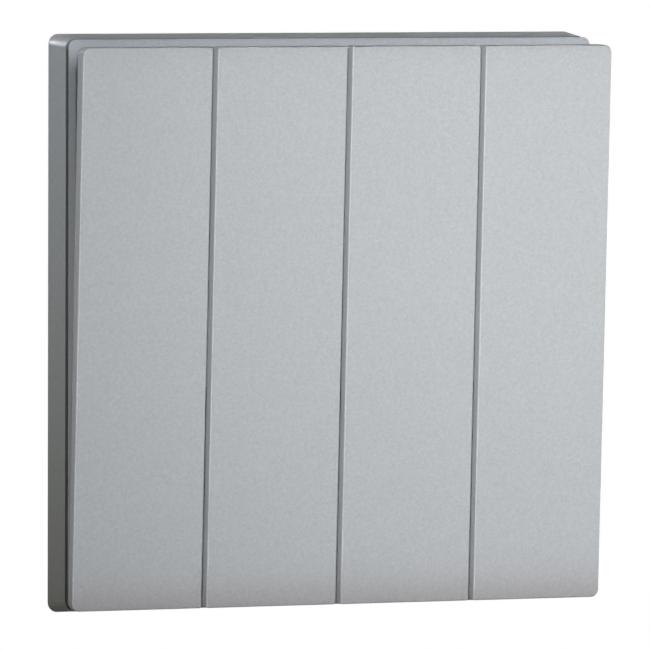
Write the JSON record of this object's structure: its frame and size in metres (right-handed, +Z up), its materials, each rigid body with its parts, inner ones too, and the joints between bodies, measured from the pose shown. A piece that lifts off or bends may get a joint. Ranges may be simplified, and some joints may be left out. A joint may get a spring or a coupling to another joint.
{
  "type": "four-gang light switch",
  "caption": "Square wall light switch with full-height silver rocker keys side by side, a thin plate and surround behind them, and a contact box with screw terminals.",
  "frame": {"origin": "centre of the switch on the wall plane, midway between the two fixing slots", "axes": "+X to the right and +Z up as seen from the front, +Y into the wall, so the keys face -Y"},
  "size_m": [0.0862, 0.0364, 0.086],
  "materials": {
    "key_silver": "silver metallic paint, fine grain",
    "plate_silver": "silver metallic paint, fine grain",
    "surround_silver": "satin silver-grey paint",
    "base_plastic": "moulded, light grey",
    "cover_plastic": "moulded, mid grey",
    "cradle_nylon": "moulded, natural white",
    "plunger_nylon": "turned, natural white",
    "spring_steel": "drawn wire",
    "strip_copper": "stamped copper",
    "contact_silver": "silver rivet",
    "terminal_brass": "machined brass",
    "screw_steel": "zinc plated"
  },
  "bodies": {
    "base": {"common_bar": "strip_copper", "common_terminal": "terminal_brass", "contact_box": "base_plastic", "contact_strip_1": "strip_copper", "contact_strip_2": "strip_copper", "contact_strip_3": "strip_copper", "contact_strip_4": "strip_copper", "cover_screws": "screw_steel", "fixed_contact_1": "contact_silver", "fixed_contact_2": "contact_silver", "fixed_contact_3": "contact_silver", "fixed_contact_4": "contact_silver", "front_plate": "plate_silver", "mechanism_cover": "cover_plastic", "mounting_base": "base_plastic", "surround_frame": "surround_silver", "terminal_1": "terminal_brass", "terminal_2": "terminal_brass", "terminal_3": "terminal_brass", "terminal_4": "terminal_brass", "terminal_screws": "screw_steel"},
    "key_1": {"key_1": "key_silver", "key_cradle_1": "cradle_nylon", "plunger_spring_1": "spring_steel"},
    "plunger_1": {"plunger_1": "plunger_nylon"},
    "contact_rocker_1": {"contact_rocker_1": "strip_copper", "moving_contact_1": "contact_silver"},
    "key_2": {"key_2": "key_silver", "key_cradle_2": "cradle_nylon", "plunger_spring_2": "spring_steel"},
    "plunger_2": {"plunger_2": "plunger_nylon"},
    "contact_rocker_2": {"contact_rocker_2": "strip_copper", "moving_contact_2": "contact_silver"},
    "key_3": {"key_3": "key_silver", "key_cradle_3": "cradle_nylon", "plunger_spring_3": "spring_steel"},
    "plunger_3": {"plunger_3": "plunger_nylon"},
    "contact_rocker_3": {"contact_rocker_3": "strip_copper", "moving_contact_3": "contact_silver"},
    "key_4": {"key_4": "key_silver", "key_cradle_4": "cradle_nylon", "plunger_spring_4": "spring_steel"},
    "plunger_4": {"plunger_4": "plunger_nylon"},
    "contact_rocker_4": {"contact_rocker_4": "strip_copper", "moving_contact_4": "contact_silver"}
  },
  "joints": [
    {"name": "key_1_rock", "type": "hinge", "parent": "base", "child": "key_1", "pos_m": [-0.01875, 0, 0], "axis": [1, 0, 0], "range_deg": [-5.6, 0]},
    {"name": "plunger_1_slide", "type": "slide", "parent": "key_1", "child": "plunger_1", "axis": [0, -0.9988, -0.0488], "range_m": [0, 0.001], "stiffness_N_per_m": 150, "deforming": ["plunger_spring_1"]},
    {"name": "contact_rocker_1_tip", "type": "hinge", "parent": "base", "child": "contact_rocker_1", "pos_m": [-0.01875, 0.0113, 0], "axis": [1, 0, 0], "range_deg": [0, 12.01]},
    {"name": "key_2_rock", "type": "hinge", "parent": "base", "child": "key_2", "pos_m": [-0.00625, 0, 0], "axis": [1, 0, 0], "range_deg": [-5.6, 0]},
    {"name": "plunger_2_slide", "type": "slide", "parent": "key_2", "child": "plunger_2", "axis": [0, -0.9988, -0.0488], "range_m": [0, 0.001], "stiffness_N_per_m": 150, "deforming": ["plunger_spring_2"]},
    {"name": "contact_rocker_2_tip", "type": "hinge", "parent": "base", "child": "contact_rocker_2", "pos_m": [-0.00625, 0.0113, 0], "axis": [1, 0, 0], "range_deg": [0, 12.01]},
    {"name": "key_3_rock", "type": "hinge", "parent": "base", "child": "key_3", "pos_m": [0.00625, 0, 0], "axis": [1, 0, 0], "range_deg": [-5.6, 0]},
    {"name": "plunger_3_slide", "type": "slide", "parent": "key_3", "child": "plunger_3", "axis": [0, -0.9988, -0.0488], "range_m": [0, 0.001], "stiffness_N_per_m": 150, "deforming": ["plunger_spring_3"]},
    {"name": "contact_rocker_3_tip", "type": "hinge", "parent": "base", "child": "contact_rocker_3", "pos_m": [0.00625, 0.0113, 0], "axis": [1, 0, 0], "range_deg": [0, 12.01]},
    {"name": "key_4_rock", "type": "hinge", "parent": "base", "child": "key_4", "pos_m": [0.01875, 0, 0], "axis": [1, 0, 0], "range_deg": [-5.6, 0]},
    {"name": "plunger_4_slide", "type": "slide", "parent": "key_4", "child": "plunger_4", "axis": [0, -0.9988, -0.0488], "range_m": [0, 0.001], "stiffness_N_per_m": 150, "deforming": ["plunger_spring_4"]},
    {"name": "contact_rocker_4_tip", "type": "hinge", "parent": "base", "child": "contact_rocker_4", "pos_m": [0.01875, 0.0113, 0], "axis": [1, 0, 0], "range_deg": [0, 12.01]}
  ],
  "couplings": [
    {"joint": "contact_rocker_1_tip", "follows": "key_1_rock", "ratio": -2.1429},
    {"joint": "contact_rocker_2_tip", "follows": "key_2_rock", "ratio": -2.1429},
    {"joint": "contact_rocker_3_tip", "follows": "key_3_rock", "ratio": -2.1429},
    {"joint": "contact_rocker_4_tip", "follows": "key_4_rock", "ratio": -2.1429}
  ]
}
